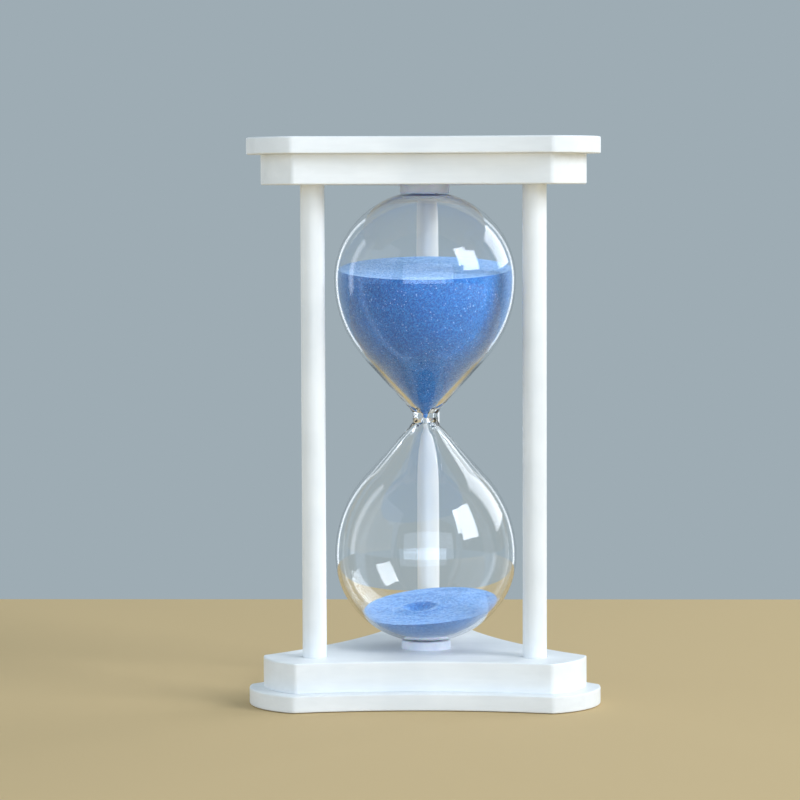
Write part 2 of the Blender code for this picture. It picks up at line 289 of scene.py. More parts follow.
# %% Board outline
# Half the length of the chord that cuts each corner, and half the angle of the arc on it.
BOARDS = {
    "plate": {"half_chord": 16.8 * MM, "half_angle": math.radians(39)},
    "block": {"half_chord": 12.55 * MM, "half_angle": math.radians(28)},
}
SIDE_HOLLOW = 6.0 * MM  # how far the middle of a side lies inside its chord
CORNER_SOFTNESS = 0.9 * MM  # rounding where a corner's arc meets a side
CORNER_TURN = math.radians(12)  # a point of the outline that turns more than this is a corner


def extend_arc(bm, vert, centre, angle, steps):
    """Pushes vert out along an arc in the XY plane, and returns the last new one."""
    step = Matrix.Rotation(angle / steps, 3, "Z")
    for _ in range(steps):
        vert = bmesh.ops.extrude_vert_indiv(bm, verts=[vert])["verts"][0]
        bmesh.ops.rotate(bm, verts=[vert], cent=centre, matrix=step)
    return vert


def board_face(reach, half_chord, half_angle):
    """The filled outline at height 0. reach is the rear corner's distance from the axis."""
    bm = bmesh.new()
    radius = half_chord / math.sin(half_angle)
    centre = Vector((0, reach - radius, 0))
    start = bm.verts.new(centre + radius * Vector((math.sin(half_angle), math.cos(half_angle), 0)))
    end = extend_arc(bm, start, centre, 2 * half_angle, 24)
    following = Matrix.Rotation(math.radians(120), 3, "Z") @ start.co
    half_side = (following - end.co).length / 2
    side_radius = (half_side**2 + SIDE_HOLLOW**2) / (2 * SIDE_HOLLOW)
    middle = (following + end.co) / 2
    side_centre = middle + middle.normalized() * (side_radius - SIDE_HOLLOW)
    extend_arc(bm, end, side_centre, -2 * math.asin(half_side / side_radius), 40)
    bmesh.ops.spin(
        bm,
        geom=bm.verts[:] + bm.edges[:],
        cent=(0, 0, 0),
        axis=(0, 0, 1),
        angle=math.radians(240),
        steps=2,
        use_duplicate=True,
    )
    bmesh.ops.remove_doubles(bm, verts=bm.verts, dist=SAME_POINT)
    bmesh.ops.contextual_create(bm, geom=bm.edges)
    turns = [vert for vert in bm.verts if vert.calc_edge_angle(0) > CORNER_TURN]
    bmesh.ops.bevel(
        bm,
        geom=turns,
        offset=CORNER_SOFTNESS,
        segments=5,
        profile=0.5,
        affect="VERTICES",
        material=-1,
    )
    return bm


print("a side is hollow by", round(SIDE_HOLLOW / MM, 1), "mm")

# %% [markdown]
# ## Plates
#
# A router or a sander leaves the boards' edges slightly round, and lacquer rounds them more.
# The outline is pulled up to the board's thickness and its rim is bevelled in four steps. A
# narrow inset and two cuts round the wall follow, because they keep the smooth shading of the
# rounding from spreading over the flat faces. Each plate is glued to a block and lacquered
# with it, so no slit is seen: the plate reaches closer to its block, by a layer of glue.

# %% Plates
EDGE_ROUNDING = 0.5 * MM
FLAT_MARGIN = 0.3 * MM  # a narrow band beside each rounding that ends the smooth shading
GLUE = 0.25 * MM


def board(kind, node, below=0.0, above=0.0, sharp_foot=False):
    """A board with rounded rims in the place of this CAD node. below and above are how far
    it reaches past that place. sharp_foot leaves the lower rim as it was sawn."""
    low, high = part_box(node)
    low.z -= below
    high.z += above
    bm = board_face(high.y, **BOARDS[kind])
    pulled = bmesh.ops.extrude_face_region(bm, geom=bm.faces[:])["geom"]
    raised = [item for item in pulled if isinstance(item, bmesh.types.BMVert)]
    bmesh.ops.translate(bm, verts=raised, vec=(0, 0, high.z - low.z))
    bmesh.ops.translate(bm, verts=bm.verts, vec=(0, 0, low.z))
    bmesh.ops.recalc_face_normals(bm, faces=bm.faces)
    rim = [edge for edge in bm.edges if abs(edge.verts[0].co.z - edge.verts[1].co.z) < ROUND_OFF]
    if sharp_foot:
        rim = [edge for edge in rim if edge.verts[0].co.z > low.z + EDGE_ROUNDING]
    bmesh.ops.bevel(
        bm,
        geom=rim,
        offset=EDGE_ROUNDING,
        segments=4,
        profile=0.5,
        affect="EDGES",
        material=-1,
    )
    flats = sorted(bm.faces, key=lambda face: face.calc_area())[-2:]
    bmesh.ops.inset_region(bm, faces=flats, thickness=FLAT_MARGIN, use_even_offset=True)
    for level in (low.z + EDGE_ROUNDING + FLAT_MARGIN, high.z - EDGE_ROUNDING - FLAT_MARGIN):
        bmesh.ops.bisect_plane(
            bm,
            geom=bm.verts[:] + bm.edges[:] + bm.faces[:],
            plane_co=(0, 0, level),
            plane_no=(0, 0, 1),
            dist=ROUND_OFF,
        )
    return bm


lower_board = board("plate", "base_plate", above=GLUE)
upper_board = board("plate", "top_plate", below=GLUE)
finish_piece("lower_plate", lower_board, BOARD_PAINT, "frame", "base_plate")
finish_piece("upper_plate", upper_board, BOARD_PAINT, "frame", "top_plate")

# %% [markdown]
# ## Round shapes and sockets
#
# Posts, rings, glass and stopper are all shapes of revolution, so one helper draws a profile
# and spins it. Holes in the blocks could be modelled face by face, but a Boolean with a turned
# cutter is what a drill does. Its result is applied, and the cutter is thrown away.


# %% Turning and drilling
def turned(profile, segments):
    """A shape of revolution from (radius, height) points. It closes on the axis, or on its
    own first point where it is a ring."""
    bm = bmesh.new()
    verts = [bm.verts.new((radius, 0, height)) for radius, height in profile]
    edges = [bm.edges.new(pair) for pair in zip(verts, verts[1:])]
    if profile[0][0] > 0:
        edges.append(bm.edges.new((verts[-1], verts[0])))
    bmesh.ops.spin(
        bm,
        geom=verts + edges,
        cent=(0, 0, 0),
        axis=(0, 0, 1),
        angle=2 * math.pi,
        steps=segments,
        use_merge=True,
    )
    bmesh.ops.remove_doubles(bm, verts=bm.verts, dist=ROUND_OFF)
    return bm


def arc(centre, radius, start, end, steps):
    """Points on an arc, angles in degrees, both ends included."""
    angles = np.radians(np.linspace(start, end, steps + 1))
    return [(centre[0] + radius * math.cos(a), centre[1] + radius * math.sin(a)) for a in angles]


def drill(obj, cutter_bm):
    """Takes the cutter's shape away from the object's mesh."""
    cutter = add_to_scene("cutter", mesh_from("cutter", cutter_bm))
    modifier = obj.modifiers.new("hole", "BOOLEAN")
    modifier.operation = "DIFFERENCE"
    modifier.object = cutter
    graph = bpy.context.evaluated_depsgraph_get()
    drilled = bpy.data.meshes.new_from_object(obj.evaluated_get(graph))
    obj.modifiers.clear()
    obj.data = drilled
    bpy.data.objects.remove(cutter)


SOCKET_FLARE = 0.35 * MM  # the broken edge of each hole


def hole(radius, floor, face):
    """A cutter for a flat-bottomed hole with a broken edge, as (radius, height) points."""
    return [
        (0, floor),
        (radius, floor),
        (radius, face - SOCKET_FLARE),
        (radius + SOCKET_FLARE, face),
        (radius + SOCKET_FLARE, face + MM),
        (0, face + MM),
    ]


print("holes are broken by", round(SOCKET_FLARE / MM, 2), "mm")

# %% [markdown]
# ## Blocks
#
# A block has three round sockets for the posts and a shallow one for the seat ring. They are
# bored with a flat bottom, and their edges are broken so that lacquer holds there. The foot
# of a block is glued down before lacquering, so it stays sharp and no groove shows. The upper
# block is a copy of the drilled lower one, which is cheaper than drilling it again.

# %% Blocks
POSTS = ("front_left", "front_right", "rear")
SOCKET_GAP = 0.12 * MM

block_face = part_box("base_block")[1].z
block_board = board("block", "base_block", sharp_foot=True)
base_block = finish_piece(
    "lower_block", block_board, BOARD_PAINT, "frame", "base_block"
)
for side in POSTS:
    low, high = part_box("post_" + side)
    socket_profile = hole((high.x - low.x) / 2 + SOCKET_GAP, low.z - SOCKET_GAP, block_face)
    socket = turned(socket_profile, 64)
    bmesh.ops.translate(
        socket, verts=socket.verts, vec=((low.x + high.x) / 2, (low.y + high.y) / 2, 0)
    )
    drill(base_block, socket)
ring_low, ring_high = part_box("lower_seat_ring")
ring_seat = hole(ring_high.x + SOCKET_GAP, ring_low.z - SOCKET_GAP, block_face)
drill(base_block, turned(ring_seat, 96))

top_bm = bmesh.new()
top_bm.from_mesh(base_block.data)
lift_to_top(top_bm)
finish_piece("upper_block", top_bm, BOARD_PAINT, "frame", "top_block")
base_block.data.set_sharp_from_angle(angle=SMOOTH_BELOW)
print("drilled lower block:", len(base_block.data.vertices), "points")

# %% [markdown]
# ## Posts
#
# The posts are dowels with broken ends, set into the sockets. A screw comes up each end, so
# each end has its pilot hole. A dowel out of a mill is round to a tenth of a millimetre, so
# the shape stays plain and the lacquer's own surface does the rest.

# %% Posts
PILOT_RADIUS = 1.5 * MM
PILOT_DEPTH = 11.0 * MM
for side in POSTS:
    low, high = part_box("post_" + side)
    radius = (high.x - low.x) / 2
    end_curve = arc((radius - EDGE_ROUNDING, low.z + EDGE_ROUNDING), EDGE_ROUNDING, -90, 0, 5)
    lower_half = [(0, low.z + PILOT_DEPTH), (PILOT_RADIUS, low.z + PILOT_DEPTH)]
    lower_half += [(PILOT_RADIUS, low.z)] + end_curve + [(radius, low.z + 2 * EDGE_ROUNDING)]
    upper_half = [(r, low.z + high.z - z) for r, z in reversed(lower_half)]
    dowel = turned(lower_half + upper_half, 72)
    centre = ((low.x + high.x) / 2, (low.y + high.y) / 2, 0)
    bmesh.ops.translate(dowel, verts=dowel.verts, vec=centre)
    finish_piece(
        "dowel_" + side, dowel, POST_PAINT, "frame", "post_" + side
    )

# %% [markdown]
# ## Foam seat rings
#
# Each bulb rests in a moulded ring of soft closed-cell foam, which grips the glass without
# scratching it. The glass has a short stub at each end, which goes into the ring's bore. The
# skin is matt with fine pores, and its edges are round. A little light enters such foam, and
# subsurface scattering gives it that soft look.

# %% Seat rings
foam, tree, shader, place = new_finish("White closed-cell foam")
pores = add_node(
    tree, "TexVoronoi", {"Scale": per_mm(0.7), "Randomness": 1.0}, {"Vector": place}
)
blotch = add_node(tree, "TexNoise", {"Scale": per_mm(5), "Detail": 4.0}, {"Vector": place})
foam_tint = add_node(tree, "ValToRGB", None, {"Fac": blotch.outputs["Fac"]})
foam_tint.color_ramp.elements[0].position = 0.35
foam_tint.color_ramp.elements[0].color = colour("E4E8F4")
foam_tint.color_ramp.elements[1].position = 0.65
foam_tint.color_ramp.elements[1].color = colour("F0F4FC")
pore_bump = add_node(
    tree,
    "Bump",
    {"Strength": 0.4, "Distance": 0.08 * MM},
    {"Height": pores.outputs["Distance"]},
)
set_sockets(
    shader, Roughness=0.72, IOR=1.45, Subsurface_Weight=0.25, Subsurface_Scale=1.5 * MM
)
tree.links.new(foam_tint.outputs["Color"], shader.inputs["Base Color"])
tree.links.new(pore_bump.outputs["Normal"], shader.inputs["Normal"])

STUB_LENGTH = 4.0 * MM
STUB_RADIUS = 4.6 * MM
BORE = STUB_RADIUS + 0.15 * MM
RING_ROUNDING = 0.7 * MM
BORE_ROUNDING = RING_ROUNDING / 2


def ring_profile():
    """Outside wall, rounded top edge, flat seat and bore."""
    outer_edge = (ring_high.x - RING_ROUNDING, ring_high.z - RING_ROUNDING)
    inner_edge = (BORE + BORE_ROUNDING, ring_high.z - BORE_ROUNDING)
    points = [(BORE, ring_low.z), (ring_high.x, ring_low.z)]
    points += arc(outer_edge, RING_ROUNDING, 0, 90, 6)
    points += arc(inner_edge, BORE_ROUNDING, 90, 180, 4)
    return points


finish_piece(
    "lower_foam_ring", turned(ring_profile(), 96), foam, "frame", "lower_seat_ring"
)
upper_ring = turned(ring_profile(), 96)
lift_to_top(upper_ring)
finish_piece("upper_foam_ring", upper_ring, foam, "frame", "upper_seat_ring")

# %% [markdown]
# ## The shape of the glass
#
# The vessel was blown from one tube on a lathe. The neck was heated until its wall closed to
# a throat under two millimetres wide, so glass is thick there and thin round the bulbs. A
# profile of arcs tangent to each other gives the teardrops: fillet at the neck, straight
# cone, wide shoulder, and a quarter ellipse down to the flat that meets the ring.

# %% Glass profile
glass_low, glass_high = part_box("glass_vessel")
MIDDLE = (glass_low.z + glass_high.z) / 2
GLASS_END = glass_high.z - MIDDLE - STUB_LENGTH
BULB = glass_high.x  # radius at the widest line
WALL = 1.2 * MM
NECK_RADIUS = 4.4 * MM
NECK_FILLET = 5.0 * MM
CONE = math.radians(42.3)  # slope of the cone to the axis
SHOULDER = 43.0 * MM  # radius of the arc from the cone to the widest line
SEAT_RADIUS = 8.6 * MM
THROAT_RADIUS = 0.8 * MM
THROAT_FILLET = 3.5 * MM  # inside; this near the outer fillet the wall bends light evenly
FILL_HOLE = 2.6 * MM

widest = NECK_FILLET * math.tan(CONE / 2) + (BULB - NECK_RADIUS) / math.tan(CONE)
widest += SHOULDER * math.tan(CONE / 2)
shoulder_centre = (BULB - SHOULDER, widest)
dome_height = (GLASS_END - widest) / math.sqrt(1 - (SEAT_RADIUS / BULB) ** 2)


def straight(start, end, steps):
    """Points between start and end, without them, so that a cone can be uneven later."""
    shares = np.linspace(0, 1, steps + 1)[1:-1]
    return [tuple(np.array(start) + share * (np.array(end) - np.array(start))) for share in shares]


def dome(radius, height, end, steps=30):
    """Quarter ellipse from the widest line to where it is cut flat, at end."""
    angles = np.linspace(0, math.asin((end - widest) / height), steps + 1)[1:]
    return [(radius * math.cos(a), widest + height * math.sin(a)) for a in angles]


def outside_of_bulb():
    """(radius, distance from the throat) from the neck to the flat at the end."""
    degrees = math.degrees(CONE)
    neck = arc((NECK_RADIUS + NECK_FILLET, 0), NECK_FILLET, 180, 180 - degrees, 12)
    shoulder = arc(shoulder_centre, SHOULDER, -degrees, 0, 18)
    cone = straight(neck[-1], shoulder[0], 14)
    return neck + cone + shoulder + dome(BULB, dome_height, GLASS_END)


def inside_of_bulb(inset=0.0, end_radius=0.0):
    """The inner wall, moved in by inset, from the throat to end_radius on its flat end. Its
    cone is the line that touches both the throat's arc and the shoulder's."""
    radius = SHOULDER - WALL
    throat_centre = (THROAT_RADIUS + THROAT_FILLET, 0)
    across = shoulder_centre[0] - throat_centre[0]
    slope = math.asin((THROAT_FILLET + radius) / math.hypot(across, widest))
    slope = math.degrees(slope + math.atan2(across, widest))
    throat = arc(throat_centre, THROAT_FILLET + inset, 180, 180 - slope, 14)
    shoulder = arc(shoulder_centre, radius - inset, -slope, 0, 18)
    cone = straight(throat[-1], shoulder[0], 12)
    moved = WALL + inset
    end = GLASS_END - moved
    curved = dome(BULB - moved, dome_height - moved, end)
    flat = straight(curved[-1], (end_radius, end), 4) + [(end_radius, end)]
    return throat + cone + shoulder + curved + flat


print("widest line, mm from the throat:", round(widest / MM, 1))

# %% [markdown]
# ## Blown glass
#
# Glass shaped by hand is never quite even. The bulbs swell and flatten by a few hundredths of
# a millimetre, which bends reflections of a window, and the neck keeps ridges from the tool.
# Both are real moves of the mesh here, so that they bend reflections and refraction alike. The
# same moves are used on the sand, which has to follow the wall.


# %% Unevenness of the glass
SWELL = 0.10  # mm, slow bulges of the bulbs
TOOL_MARK = 0.13  # mm, rings that the tool leaves round the neck
DENT = 0.16  # mm, irregular dents there
NECK_REACH = 6.5  # mm from the throat, where the marks have mostly faded
CALM_CORE = 3.0 * MM  # nearer the axis than this everything moves less, down to nothing


def blown(point):
    """A point of the glass or the sand, moved as the blown wall is uneven."""
    height = abs(point.z - MIDDLE) / MM
    bearing = math.atan2(point.y, point.x)
    around = Vector((math.cos(bearing), math.sin(bearing), point.z / (40 * MM)))
    swell = SWELL * noise.noise(around * 1.3) * min(1, height / 12)
    near_neck = math.exp(-((height / NECK_REACH) ** 2))
    tool = TOOL_MARK * near_neck * math.sin(height * 3.1 + 1.4 * math.sin(bearing + 0.6))
    spot = around * 3.7 + Vector((0, 0, 9 * point.z / (20 * MM)))
    dent = DENT * near_neck * noise.noise(spot)
    radius = math.hypot(point.x, point.y)
    share = min(1, radius / CALM_CORE)
    moved = radius + (swell + (tool + dent) * share) * MM * share
    scale = moved / radius if radius > SAME_POINT else 1
    return Vector((point.x * scale, point.y * scale, point.z))


def make_uneven(bm):
    for vert in bm.verts:
        vert.co = blown(vert.co)


widest_point = Vector((BULB, 0, MIDDLE + widest))
print("unevenness at the widest line, mm:", round((blown(widest_point).x - BULB) / MM, 3))

# %% [markdown]
# ## Clear borosilicate glass
#
# Borosilicate glass bends light by 1.47 and is almost colourless, with the faintest grey where
# light runs along the wall. The mesh has both an outer and an inner surface, so the shader
# bends light twice, as the real wall does. The glass casts no shadow here: a real glass lets
# lamp light through to the sand, and tracing that light as caustics would only add noise.

# %% Glass vessel
glass, tree, shader, place = new_finish("Clear borosilicate glass")
set_sockets(shader, Roughness=0.0, IOR=1.47, Transmission_Weight=1.0)
seeds = add_node(tree, "TexNoise", {"Scale": per_mm(14), "Detail": 2.0}, {"Vector": place})
clearness = add_node(tree, "ValToRGB", None, {"Fac": seeds.outputs["Fac"]})
clearness.color_ramp.elements[0].color = colour("FBFDFD")
clearness.color_ramp.elements[1].color = colour("FFFFFF")
tree.links.new(clearness.outputs["Color"], shader.inputs["Base Color"])

STUB_FOOT = 0.5 * MM  # the bevel between the seat and the stub
TIP_ROUNDING = 0.9 * MM  # the closed upper stub, melted round
LIP_ROUNDING = 0.6 * MM  # the open lower stub, fire-polished


def below(profile):
    """The same points below the throat."""
    return [(radius, -height) for radius, height in profile]


def glass_profile():
    """The closed wall: the upper stub, the outside downward, the lower stub with its open
    hole, and the inside upward."""
    stub_end = GLASS_END + STUB_LENGTH
    outside = outside_of_bulb()
    seat = [(STUB_RADIUS + STUB_FOOT, GLASS_END)]
    foot = [(STUB_RADIUS, GLASS_END + STUB_FOOT)]
    tip = arc((STUB_RADIUS - TIP_ROUNDING, stub_end - TIP_ROUNDING), TIP_ROUNDING, 90, 0, 6)
    lip = arc((STUB_RADIUS - LIP_ROUNDING, stub_end - LIP_ROUNDING), LIP_ROUNDING, 0, 90, 5)
    points = [(0, stub_end)] + tip + foot + seat
    points += outside[::-1] + below(outside)[1:]
    points += below(seat + foot + lip + [(FILL_HOLE, stub_end)])
    points += below(inside_of_bulb(end_radius=FILL_HOLE))[::-1] + inside_of_bulb()[1:]
    return [(radius, MIDDLE + height) for radius, height in points]


vessel_bm = turned(glass_profile(), 160)
make_uneven(vessel_bm)
vessel = finish_piece("blown_glass", vessel_bm, glass, "glass", "glass_vessel")
vessel.visible_shadow = False

# %% [markdown]
# ## Dyed blue sand
#
# Timer sand is dyed quartz, sieved to about 0.2 mm, with some flakes that glitter. Single
# grains that small would not show, so the cells here are 0.34 mm. Each cell takes its own
# blue and its own sheen of dust. About one in a hundred gets a painted glint, a pale colour
# that stands in for the sparkle of a flake, and is also really shinier. The cells' edges go
# into the bump, so that the heap sparkles rather than looking smooth like clay. A little
# light enters quartz and comes out beside, which softens the shaded side.

# %% Sand finish
GRAIN = 0.34  # mm
sand, tree, shader, place = new_finish("Dyed quartz sand with painted glint")
grains = add_node(tree, "TexVoronoi", {"Scale": per_mm(GRAIN)}, {"Vector": place})
pick = add_node(tree, "SeparateColor", None, {"Color": grains.outputs["Color"]})
blues = add_node(tree, "ValToRGB", None, {"Fac": pick.outputs["Red"]})
blues.color_ramp.elements[0].position = 0.0
blues.color_ramp.elements[0].color = colour("0957A9")
blues.color_ramp.elements[1].position = 1.0
blues.color_ramp.elements[1].color = colour("3591DA")
middle_blue = blues.color_ramp.elements.new(0.5)
middle_blue.color = colour("146EC0")
# painted glint: about one cell in a hundred gets a pale colour that stands in for sparkle
painted_glint_and_shine = add_node(
    tree,
    "MapRange",
    {"From Min": 0.985, "From Max": 0.992, "To Min": 0.0, "To Max": 1.0},
    {"Value": pick.outputs["Green"]},
)
# the pale colour A9CCF8 is the painted glint; the same cells' lower roughness is real shine
blues_with_painted_glints = add_node(
    tree,
    "Mix",
    {"data_type": "RGBA", 7: colour("A9CCF8")},
    {"Factor": painted_glint_and_shine.outputs["Result"], 6: blues.outputs["Color"]},
)
patches = add_node(tree, "TexNoise", {"Scale": per_mm(6), "Detail": 3.0}, {"Vector": place})
drift = add_node(
    tree,
    "MapRange",
    {"From Min": 0.3, "From Max": 0.7, "To Min": 0.93, "To Max": 1.05},
    {"Value": patches.outputs["Fac"]},
)
sand_colour = add_node(
    tree,
    "Mix",
    {"data_type": "RGBA", "blend_type": "MULTIPLY", "Factor": 1.0},
    {6: blues_with_painted_glints.outputs[2], 7: drift.outputs["Result"]},
)
shine = add_node(
    tree,
    "MapRange",
    {"From Min": 0.0, "From Max": 1.0, "To Min": 0.85, "To Max": 0.25},
    {"Value": painted_glint_and_shine.outputs["Result"]},
)
grain_bump = add_node(
    tree,
    "Bump",
    {"Strength": 0.6, "Distance": 0.15 * MM, "invert": True},
    {"Height": grains.outputs["Distance"]},
)
set_sockets(shader, IOR=1.54, Sheen_Roughness=0.5, Sheen_Tint=colour("C0E0FF"))
set_sockets(
    shader, Subsurface_Weight=0.3, Subsurface_Radius=(0.3, 0.6, 1.0), Subsurface_Scale=1.6 * MM
)
dust = add_node(
    tree, "MapRange", {"To Min": 0.2, "To Max": 1.6}, {"Value": pick.outputs["Blue"]}
)
tree.links.new(dust.outputs["Result"], shader.inputs["Sheen Weight"])
tree.links.new(sand_colour.outputs[2], shader.inputs["Base Color"])
tree.links.new(shine.outputs["Result"], shader.inputs["Roughness"])
tree.links.new(grain_bump.outputs["Normal"], shader.inputs["Normal"])
print("grains are drawn", GRAIN, "mm wide")

# %% [markdown]
# ## Sand heaps
#
# Sand fills the glass up to a sloping surface, so its side is the inner wall and its edge is
# the line where the slope meets the wall. Cutting a turned solid with a plane would leave one
# huge face on top. Instead a flat disc with a skirt is spun first, and then each point moves:
# disc points onto the slope, skirt points onto the wall.

# %% Sand between a wall and a slope
TOP_RINGS = 100
SKIRT_RINGS = 44
SAND_SEGMENTS = 220
FLAT_RIM = 9  # the relief is full from 1 / 9 of the way in from the wall


def disc_with_skirt():
    """A unit disc at height 0 with a wall down to -1 and a floor there, spun."""
    top = [(ring / TOP_RINGS, 0) for ring in range(TOP_RINGS + 1)]
    skirt = [(1, -ring / SKIRT_RINGS) for ring in range(1, SKIRT_RINGS + 1)]
    return turned(top + skirt + [(0, -1)], SAND_SEGMENTS)


def along_wall(wall, share):
    """The wall's (radius, height) at a share of its number of points."""
    at = share * (len(wall) - 1)
    steps = np.arange(len(wall))
    return np.interp(at, steps, wall[:, 0]), np.interp(at, steps, wall[:, 1])


def contact_share(wall, bearing, level, slope):
    """How far along the wall, from the top of the sand's space, the slope meets it."""
    across = math.cos(bearing) * slope[0] + math.sin(bearing) * slope[1]
    above = wall[:, 1] - (level + wall[:, 0] * across)
    crossing = np.nonzero(np.diff(np.sign(above)))[0][0]
    part = above[crossing] / (above[crossing] - above[crossing + 1])
    return (crossing + part) / (len(wall) - 1)


def heap(wall, level, slope, relief):
    """Sand between the wall and a slope. The wall's points run downward and end at the axis
    or at the fill hole. relief gives the surface's height above the slope at (x, y)."""
    bm = disc_with_skirt()
    contacts = {}
    for vert in bm.verts:
        share = math.hypot(vert.co.x, vert.co.y)
        bearing = math.atan2(vert.co.y, vert.co.x) if share > SAME_POINT else 0.0
        key = round(bearing, 4)
        if key not in contacts:
            contacts[key] = contact_share(wall, bearing, level, slope)
        depth = -vert.co.z
        start = contacts[key]
        radius, height = along_wall(wall, start + depth * (1 - start))
        on_top = depth < SAME_POINT
        if on_top:
            radius *= share
        elif share < SAME_POINT:
            radius = 0.0
        x, y = radius * math.cos(bearing), radius * math.sin(bearing)
        if on_top:
            fade = min(1, (1 - share) * FLAT_RIM)
            height = level + x * slope[0] + y * slope[1] + relief(x, y) * fade
        vert.co = (x, y, height)
    make_uneven(bm)
    return bm


print("points in a heap before merging:", (TOP_RINGS + SKIRT_RINGS) * SAND_SEGMENTS)

# %% [markdown]
# ## The two heaps
#
# Nobody levels the sand, so both heaps lean a few degrees. Ripples and grains that stick out
# make each surface rough and its edge ragged. In the lower bulb the falling stream digs a
# small crater with a raised rim. All of it could be sculpted by hand, but smooth noise and
# two bell curves say the same in a few lines and can be changed later.

# %% Sand heaps
SAND_GAP = 0.05 * MM
UPPER_LEVEL = 53.8 * MM  # above the throat, on the axis
LOWER_LEVEL = 10.0 * MM  # above the inside of the lower end, on the axis
CRATER_SHIFT = 2.2 * MM  # how far left of the axis the stream lands
CRATER_RADIUS = 5.2 * MM
CRATER_RIM = 0.9  # mm
CRATER_DEPTH = 2.4  # mm


def as_wall(profile):
    """The profile at its height in the world, from the top of the space to its bottom."""
    wall = np.array(profile) + (0, MIDDLE)
    return wall if wall[0, 1] > wall[-1, 1] else wall[::-1]


def tilt(towards_front, towards_left):
    """The slope's rise along X and Y, from how far it leans down, in degrees."""
    return (math.tan(math.radians(towards_left)), math.tan(math.radians(towards_front)))


def ripple(x, y, size, seed):
    """Smooth noise from -1 to 1 whose waves are about size millimetres long."""
    return noise.noise(Vector((x / (size * MM), y / (size * MM), seed)))


def loose_grains(x, y):
    """Ripples of a few millimetres, and grains that stick out of them."""
    return 0.16 * ripple(x, y, 2.6, 5.0) + 0.22 * ripple(x, y, 0.8, 3.0)


def upper_relief(x, y):
    return (0.30 * ripple(x, y, 9, 2.0) + loose_grains(x, y)) * MM


def lower_relief(x, y):
    """Ripples, with a crater whose rim is a little higher than the slope."""
    away = math.hypot(x + CRATER_SHIFT, y) / CRATER_RADIUS
    rim = CRATER_RIM * math.exp(-(((away - 1.2) / 0.4) ** 2))
    pit = CRATER_DEPTH * math.exp(-((1.1 * away) ** 2))
    return (rim - pit + 0.35 * ripple(x, y, 8, 1.0) + loose_grains(x, y)) * MM


upper_wall = as_wall(inside_of_bulb(SAND_GAP)[1:])
lower_wall = as_wall(below(inside_of_bulb(SAND_GAP, FILL_HOLE)[1:]))
lower_axis_level = MIDDLE - GLASS_END + WALL + LOWER_LEVEL
upper_heap = heap(upper_wall, MIDDLE + UPPER_LEVEL, tilt(6.6, 0.0), upper_relief)
finish_piece("sand_to_run", upper_heap, sand, "glass", "sand_upper")
lower_heap = heap(lower_wall, lower_axis_level, tilt(7.0, 4.8), lower_relief)
finish_piece("sand_run_through", lower_heap, sand, "glass", "sand_lower")

# %% [markdown]
# ## Stopper
#
# The sand goes in through the lower stub, which a cork stopper then shuts. The ring and the
# block hide it. Cork is dark lenticels in a tan ground, and a turned plug has broken edges.

# %% Stopper
cork, tree, shader, place = new_finish("Natural cork")
cells = add_node(tree, "TexVoronoi", {"Scale": per_mm(0.6)}, {"Vector": place})
flecks = add_node(tree, "TexNoise", {"Scale": per_mm(1.1), "Detail": 5.0}, {"Vector": place})
cork_tint = add_node(tree, "ValToRGB", None, {"Fac": flecks.outputs["Fac"]})
cork_tint.color_ramp.elements[0].position = 0.38
cork_tint.color_ramp.elements[0].color = colour("7A5432")
cork_tint.color_ramp.elements[1].position = 0.55
cork_tint.color_ramp.elements[1].color = colour("C79F6E")
cork_bump = add_node(
    tree, "Bump", {"Strength": 0.5, "Distance": 0.1 * MM}, {"Height": cells.outputs["Distance"]}
)
set_sockets(shader, Roughness=0.9)
tree.links.new(cork_tint.outputs["Color"], shader.inputs["Base Color"])
tree.links.new(cork_bump.outputs["Normal"], shader.inputs["Normal"])

PLUG_ROUNDING = 0.4 * MM
low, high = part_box("fill_stopper")
side_of_edge = high.x - PLUG_ROUNDING
foot = arc((side_of_edge, low.z + PLUG_ROUNDING), PLUG_ROUNDING, -90, 0, 4)
crown = arc((side_of_edge, high.z - PLUG_ROUNDING), PLUG_ROUNDING, 0, 90, 4)
plug = turned([(0, low.z)] + foot + crown + [(0, high.z)], 40)
finish_piece("cork_plug", plug, cork, "glass", "fill_stopper")

# %% [markdown]
# ## Screws
#
# Six countersunk wood screws pull the frame together, and the glued plates hide them. They
# are zinc-plated steel, cold formed, so the finish is a bright metal with a fine grain. As
# nothing of them shows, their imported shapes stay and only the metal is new.

# %% Screws
zinc, tree, shader, place = new_finish("Zinc-plated steel")
smear = add_node(tree, "TexNoise", {"Scale": per_mm(0.8), "Detail": 3.0}, {"Vector": place})
zinc_tint = add_node(tree, "ValToRGB", None, {"Fac": smear.outputs["Fac"]})
zinc_tint.color_ramp.elements[0].color = colour("A9ADB2")
zinc_tint.color_ramp.elements[1].color = colour("CFD3D6")
dullness = add_node(
    tree, "MapRange", {"To Min": 0.24, "To Max": 0.42}, {"Value": smear.outputs["Fac"]}
)
set_sockets(shader, Metallic=1.0)
tree.links.new(zinc_tint.outputs["Color"], shader.inputs["Base Color"])
tree.links.new(dullness.outputs["Result"], shader.inputs["Roughness"])
screws = [name for name in cad_nodes if "_screw_" in name]
for name in screws:
    cad_nodes[name].data.materials.clear()
    cad_nodes[name].data.materials.append(zinc)
print("screws:", len(screws))

# %% [markdown]
# ## Floor and background
#
# The floor is a plain pale slab that ends a little behind the object, like a table, so that a
# plain grey wall shows through the bulbs as it does in a room. It could run to the horizon,
# but then the glass would have nothing darker than itself behind it and would hardly show.

# %% Floor
FLOOR_HALF_WIDTH = 2.2  # metres
FLOOR_HALF_DEPTH = 1.3
FLOOR_END = 0.264  # behind the axis
FLOOR_DROP = 0.2 * MM  # a hair under the plate, so that the two never share a plane

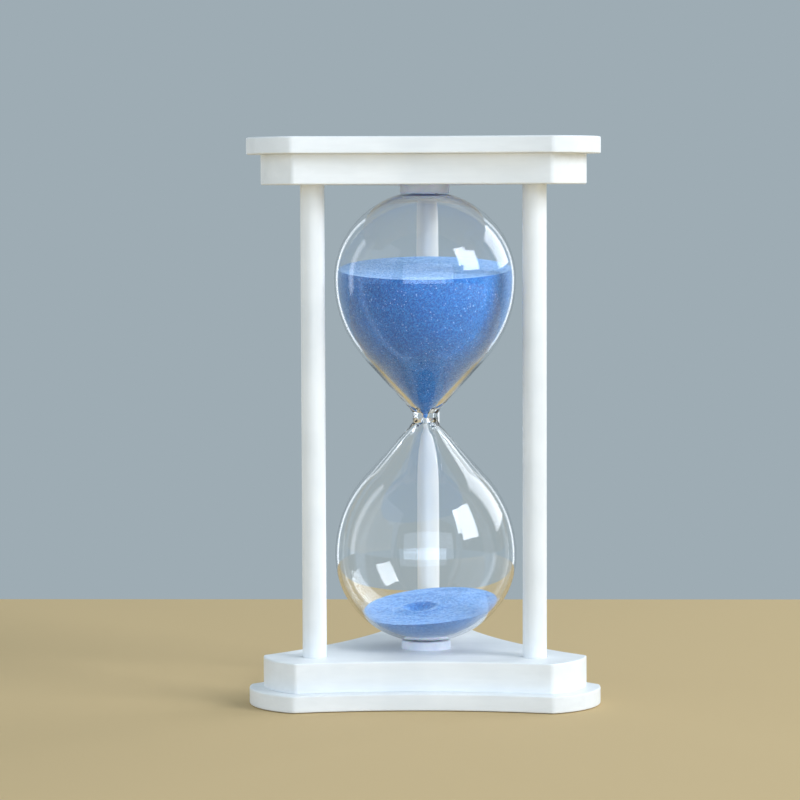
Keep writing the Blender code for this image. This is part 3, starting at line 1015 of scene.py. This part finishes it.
floor_bm = bmesh.new()
bmesh.ops.create_grid(floor_bm, x_segments=1, y_segments=1, size=1.0)
bmesh.ops.scale(floor_bm, verts=floor_bm.verts, vec=(FLOOR_HALF_WIDTH, FLOOR_HALF_DEPTH, 1))
floor_shift = (0, FLOOR_END - FLOOR_HALF_DEPTH, -FLOOR_DROP)
bmesh.ops.translate(floor_bm, verts=floor_bm.verts, vec=floor_shift)
floor_finish, _, shader, _ = new_finish("Pale plain floor")
set_sockets(shader, Base_Color=colour("CEB486"), Roughness=0.85, Specular_IOR_Level=0.2)
floor_mesh = mesh_from("floor", floor_bm)
floor_mesh.materials.append(floor_finish)
floor = add_to_scene("floor", floor_mesh)

world = bpy.data.worlds.new("plain_wall")
world.use_nodes = True
set_sockets(world.node_tree.nodes["Background"], Color=colour("9EACB4"), Strength=1.0)
bpy.context.scene.world = world
print("floor ends", round(FLOOR_END * 1000), "mm behind the axis")

# %% [markdown]
# ## Soft lights
#
# Glass shows what it mirrors, so the shapes of the lights matter more than their number. Two
# broad panels stand to the right like windows, the nearer one in two panes, and make the
# bright quads and strips on the bulbs. A narrow strip on the left is the gap of a curtain,
# and two tall narrow glows behind line the edges of the glass. Wide dim panels in front, low
# in front and on the left fill the faces in shade. One lamp would be simpler, but it would
# leave the glass without edges.

# %% Lights
LIGHT_DISTANCE = 2.0
DAYLIGHT = "F0F6FF"


def soft_light(name, bearing, elevation, width, height, radiance, tint=DAYLIGHT):
    """A panel at a fixed distance from the middle of the object. bearing is in degrees to the
    right of the front, and width and height are the angles that it spans."""
    data = bpy.data.lights.new(name, "AREA")
    data.shape = "RECTANGLE"
    data.size = 2 * LIGHT_DISTANCE * math.tan(math.radians(width / 2))
    data.size_y = 2 * LIGHT_DISTANCE * math.tan(math.radians(height / 2))
    data.energy = radiance * math.pi * data.size * data.size_y
    data.color = colour(tint)[:3]
    panel = add_to_scene(name, data)
    turn, rise = math.radians(bearing), math.radians(elevation)
    panel.location = (
        LIGHT_DISTANCE * math.sin(turn) * math.cos(rise),
        -LIGHT_DISTANCE * math.cos(turn) * math.cos(rise),
        MIDDLE + LIGHT_DISTANCE * math.sin(rise),
    )
    aim(panel, (0, 0, MIDDLE))
    print(f"{name}: {data.size:.2f} x {data.size_y:.2f} m, {data.energy:.0f} W")


soft_light("window_near_narrow_pane", 49, 30, 4, 22, 9)
soft_light("window_near_wide_pane", 64, 27, 23, 28, 9)
soft_light("window_far", 125, 27, 28, 36, 3.4)
soft_light("curtain_left", -106, 5, 9, 80, 1.8)
soft_light("glow_behind_left", -150, 5, 5, 70, 1.3)
soft_light("glow_behind_right", 152, 5, 5, 70, 1.3)
soft_light("fill_left", -70, 15, 60, 60, 0.55, "E6F0FF")
soft_light("fill_front", 5, 5, 64, 38, 1.45, "D6E8FF")
soft_light("fill_low", 0, -2, 54, 14, 1.6, "DCEBFF")

# %% [markdown]
# ## Size and the last line
#
# The finer meshes have to keep the size of the imported model. The last line prints the box
# of the imported model.

# %% Finish
print("cad box:", cad_box)
